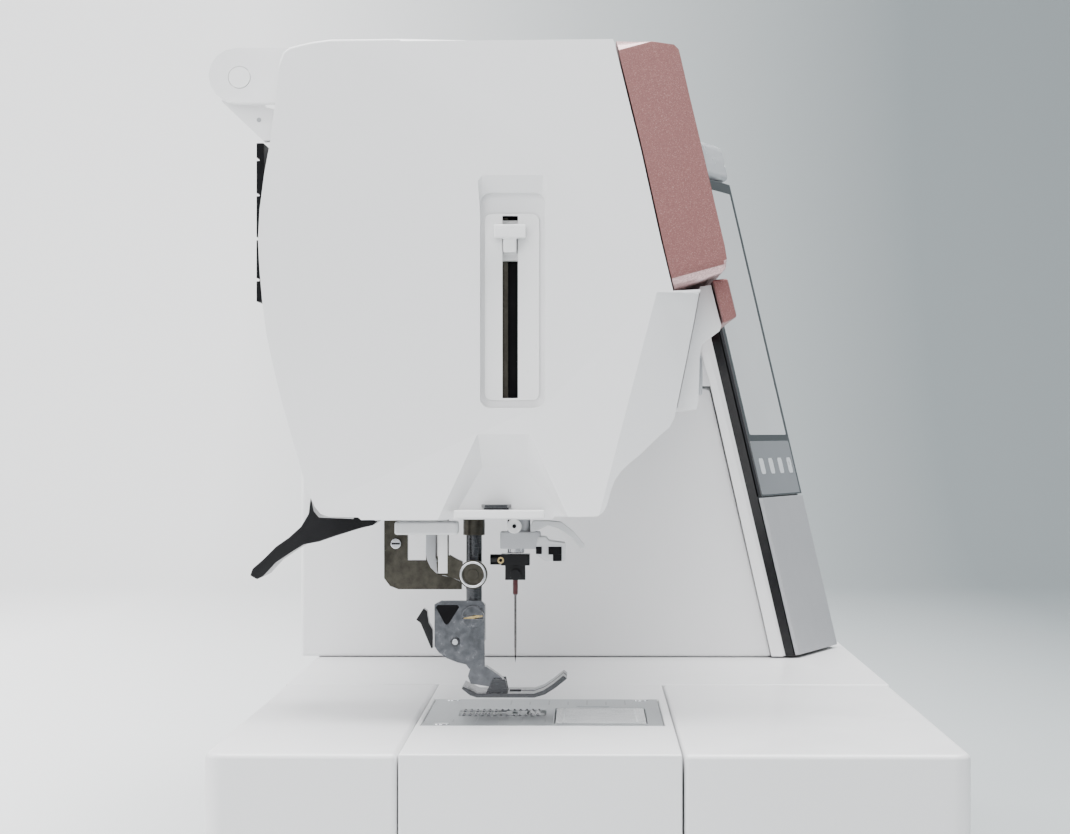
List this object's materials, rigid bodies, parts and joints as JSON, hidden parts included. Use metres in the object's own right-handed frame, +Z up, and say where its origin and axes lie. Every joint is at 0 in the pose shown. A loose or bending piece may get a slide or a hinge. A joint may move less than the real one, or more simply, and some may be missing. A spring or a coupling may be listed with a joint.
{
  "type": "computerised sewing machine",
  "caption": "Long-arm computerised sewing machine with leaning touch screen, rose-gold fascia, free arm and slide-off extension table.",
  "frame": {"origin": "centre of the bounding box's base, on the table", "axes": "+X from the needle end to the handwheel, -Y towards the operator, +Z up"},
  "size_m": [0.558, 0.2512, 0.3044],
  "materials": {
    "white_casing": "satin white moulded plastic",
    "white_control": "satin white moulded plastic",
    "grey_control": "fine matte grey plastic",
    "rose_fascia": "metallic rose-gold lacquer with fine flake",
    "rubber": "matte black rubber",
    "pan": "matte grey plastic",
    "needle_plate_steel": "fine brushed steel",
    "polished_steel": "polished steel",
    "foot_steel": "polished nickel",
    "bronze_metal": "dark brown-grey burnished metal",
    "clear_plastic": "translucent clear plastic",
    "smoke_plastic": "translucent grey plastic",
    "screen": "dark glass touch screen",
    "black_plastic": "glossy black plastic",
    "vent_black": "matte black plastic",
    "cast_aluminium": "as-cast aluminium"
  },
  "bodies": {
    "frame": {"base_cover": "white_casing", "base_pan": "pan", "free_arm_cover": "white_casing", "needle_plate": "needle_plate_steel", "pillar_shell": "white_casing", "pillar_side_cover": "white_casing", "arm_shell": "white_casing", "head_shell": "white_casing", "head_end_cover": "white_casing", "threader_guide_plate": "white_control", "thread_cutter": "white_control", "fascia_upper": "rose_fascia", "fascia_lower_stripe": "rose_fascia", "button_panel": "white_casing", "screen_housing": "black_plastic", "screen_glass": "screen", "screen_lower_panel": "grey_control", "screen_top_cap": "smoke_plastic", "rear_vent": "vent_black", "handle_bracket_left": "white_casing", "handle_bracket_right": "white_casing", "main_casting": "cast_aluminium", "motor": "black_plastic", "timing_belt": "rubber", "mains_inlet": "black_plastic", "presser_bar_bushing": "bronze_metal", "lamp_block": "clear_plastic", "spool_pin": "black_plastic"},
    "extension_table": {"extension_table_front": "white_casing", "extension_table_rear": "white_casing", "extension_table_bridge": "white_casing"},
    "handwheel_and_shaft": {"handwheel": "white_control", "upper_shaft": "polished_steel"},
    "lower_shaft": {"lower_shaft": "polished_steel"},
    "rotary_hook": {"rotary_hook": "polished_steel"},
    "bobbin": {"bobbin": "clear_plastic"},
    "needle_bar": {"needle_bar": "polished_steel", "needle_clamp": "black_plastic", "needle": "polished_steel"},
    "take_up_lever": {"take_up_lever": "polished_steel"},
    "presser_lever": {"presser_lever": "black_plastic"},
    "presser_bar": {"presser_bar": "polished_steel", "foot_holder": "foot_steel", "foot_screw": "foot_steel", "upper_feed_plate": "bronze_metal"},
    "presser_foot": {"presser_foot": "foot_steel"},
    "snap_lever": {"snap_lever": "black_plastic"},
    "upper_feed_link": {"upper_feed_link": "bronze_metal"},
    "threader_lever": {"threader_lever": "white_control"},
    "threader_carrier": {"threader_carrier": "grey_control"},
    "carrying_handle": {"carrying_handle": "white_casing"},
    "top_lid": {"top_lid": "white_casing"},
    "bobbin_cover": {"bobbin_cover": "clear_plastic"},
    "feed_dog": {"feed_dog": "polished_steel"},
    "start_stop_button": {"start_stop_button": "grey_control"},
    "reverse_button": {"reverse_button": "grey_control"},
    "needle_up_down_button": {"needle_up_down_button": "grey_control"},
    "thread_cutter_button": {"thread_cutter_button": "grey_control"},
    "speed_slider": {"speed_slider": "grey_control"},
    "power_switch": {"power_switch": "black_plastic"}
  },
  "joints": [
    {"name": "handwheel_turn", "type": "hinge", "parent": "frame", "child": "handwheel_and_shaft", "pos_m": [0.221, 0.0343, 0.234], "axis": [1, 0, 0], "continuous": true},
    {"name": "lower_shaft_turn", "type": "hinge", "parent": "frame", "child": "lower_shaft", "pos_m": [0.121, 0.0163, 0.036], "axis": [1, 0, 0], "continuous": true},
    {"name": "hook_turn", "type": "hinge", "parent": "frame", "child": "rotary_hook", "pos_m": [-0.145, -0.0107, 0.05], "axis": [0, 0, 1], "continuous": true},
    {"name": "bobbin_turn", "type": "hinge", "parent": "frame", "child": "bobbin", "pos_m": [-0.145, -0.0107, 0.055], "axis": [0, 0, 1], "continuous": true},
    {"name": "needle_bar_travel", "type": "slide", "parent": "frame", "child": "needle_bar", "axis": [0, 0, 1], "range_m": [-0.031, 0.002]},
    {"name": "take_up_swing", "type": "hinge", "parent": "frame", "child": "take_up_lever", "pos_m": [-0.126, 0.0083, 0.226], "axis": [1, 0, 0], "range_deg": [-6, 40]},
    {"name": "presser_lever_swing", "type": "hinge", "parent": "frame", "child": "presser_lever", "pos_m": [-0.129, 0.0643, 0.146], "axis": [0, 1, 0], "range_deg": [0, 35.5]},
    {"name": "presser_bar_travel", "type": "slide", "parent": "frame", "child": "presser_bar", "axis": [0, 0, 1], "range_m": [-0.0046, 0]},
    {"name": "presser_foot_tilt", "type": "hinge", "parent": "presser_bar", "child": "presser_foot", "pos_m": [-0.1346, 0.0252, 0.081], "axis": [1, 0, 0], "range_deg": [-5, 4], "stiffness_Nm_per_rad": 0.02},
    {"name": "snap_lever_press", "type": "hinge", "parent": "presser_bar", "child": "snap_lever", "pos_m": [-0.1375, 0.0501, 0.0995], "axis": [1, 0, 0], "range_deg": [0, 6], "stiffness_Nm_per_rad": 0.05},
    {"name": "upper_feed_swing", "type": "hinge", "parent": "presser_bar", "child": "upper_feed_link", "pos_m": [-0.1461, 0.0451, 0.148], "axis": [1, 0, 0], "range_deg": [-4, 3], "stiffness_Nm_per_rad": 0.05},
    {"name": "threader_lever_travel", "type": "slide", "parent": "frame", "child": "threader_lever", "axis": [0, 0, 1], "range_m": [-0.049, 0], "stiffness_N_per_m": 2, "springref_m": 0.02},
    {"name": "threader_carrier_travel", "type": "slide", "parent": "frame", "child": "threader_carrier", "axis": [0, 0, 1], "range_m": [-0.03, 0]},
    {"name": "handle_swing", "type": "hinge", "parent": "frame", "child": "carrying_handle", "pos_m": [0.021, 0.1148, 0.2933], "axis": [-1, 0, 0], "range_deg": [0, 100]},
    {"name": "top_lid_swing", "type": "hinge", "parent": "frame", "child": "top_lid", "pos_m": [0.041, 0.0768, 0.303], "axis": [-1, 0, 0], "range_deg": [0, 82]},
    {"name": "extension_table_slide", "type": "slide", "parent": "frame", "child": "extension_table", "axis": [-1, 0, 0], "range_m": [0, 0.28]},
    {"name": "bobbin_cover_lift", "type": "slide", "parent": "frame", "child": "bobbin_cover", "axis": [0, 0, 1], "range_m": [0, 0.0035]},
    {"name": "feed_dog_drop", "type": "slide", "parent": "frame", "child": "feed_dog", "axis": [0, 0, 1], "range_m": [-0.0025, 0]},
    {"name": "start_stop_button_press", "type": "slide", "parent": "frame", "child": "start_stop_button", "axis": [0, 1, 0], "range_m": [0, 0.0012], "stiffness_N_per_m": 300},
    {"name": "reverse_button_press", "type": "slide", "parent": "frame", "child": "reverse_button", "axis": [0, 1, 0], "range_m": [0, 0.0012], "stiffness_N_per_m": 300},
    {"name": "needle_up_down_button_press", "type": "slide", "parent": "frame", "child": "needle_up_down_button", "axis": [0, 1, 0], "range_m": [0, 0.0012], "stiffness_N_per_m": 300},
    {"name": "thread_cutter_button_press", "type": "slide", "parent": "frame", "child": "thread_cutter_button", "axis": [0, 1, 0], "range_m": [0, 0.0012], "stiffness_N_per_m": 300},
    {"name": "speed_slider_travel", "type": "slide", "parent": "frame", "child": "speed_slider", "axis": [1, 0, 0], "range_m": [-0.012, 0.012]},
    {"name": "power_switch_rock", "type": "hinge", "parent": "frame", "child": "power_switch", "pos_m": [0.2545, 0.0283, 0.033], "axis": [0, 1, 0], "range_deg": [-8, 0]}
  ],
  "couplings": [
    {"joint": "lower_shaft_turn", "follows": "handwheel_turn", "ratio": 1},
    {"joint": "hook_turn", "follows": "handwheel_turn", "ratio": 2},
    {"joint": "take_up_swing", "follows": "needle_bar_travel", "rad_per_m": -21.394},
    {"joint": "presser_lever_swing", "follows": "presser_bar_travel", "rad_per_m": -132.8},
    {"joint": "threader_carrier_travel", "follows": "threader_lever_travel", "ratio": 0.6}
  ]
}
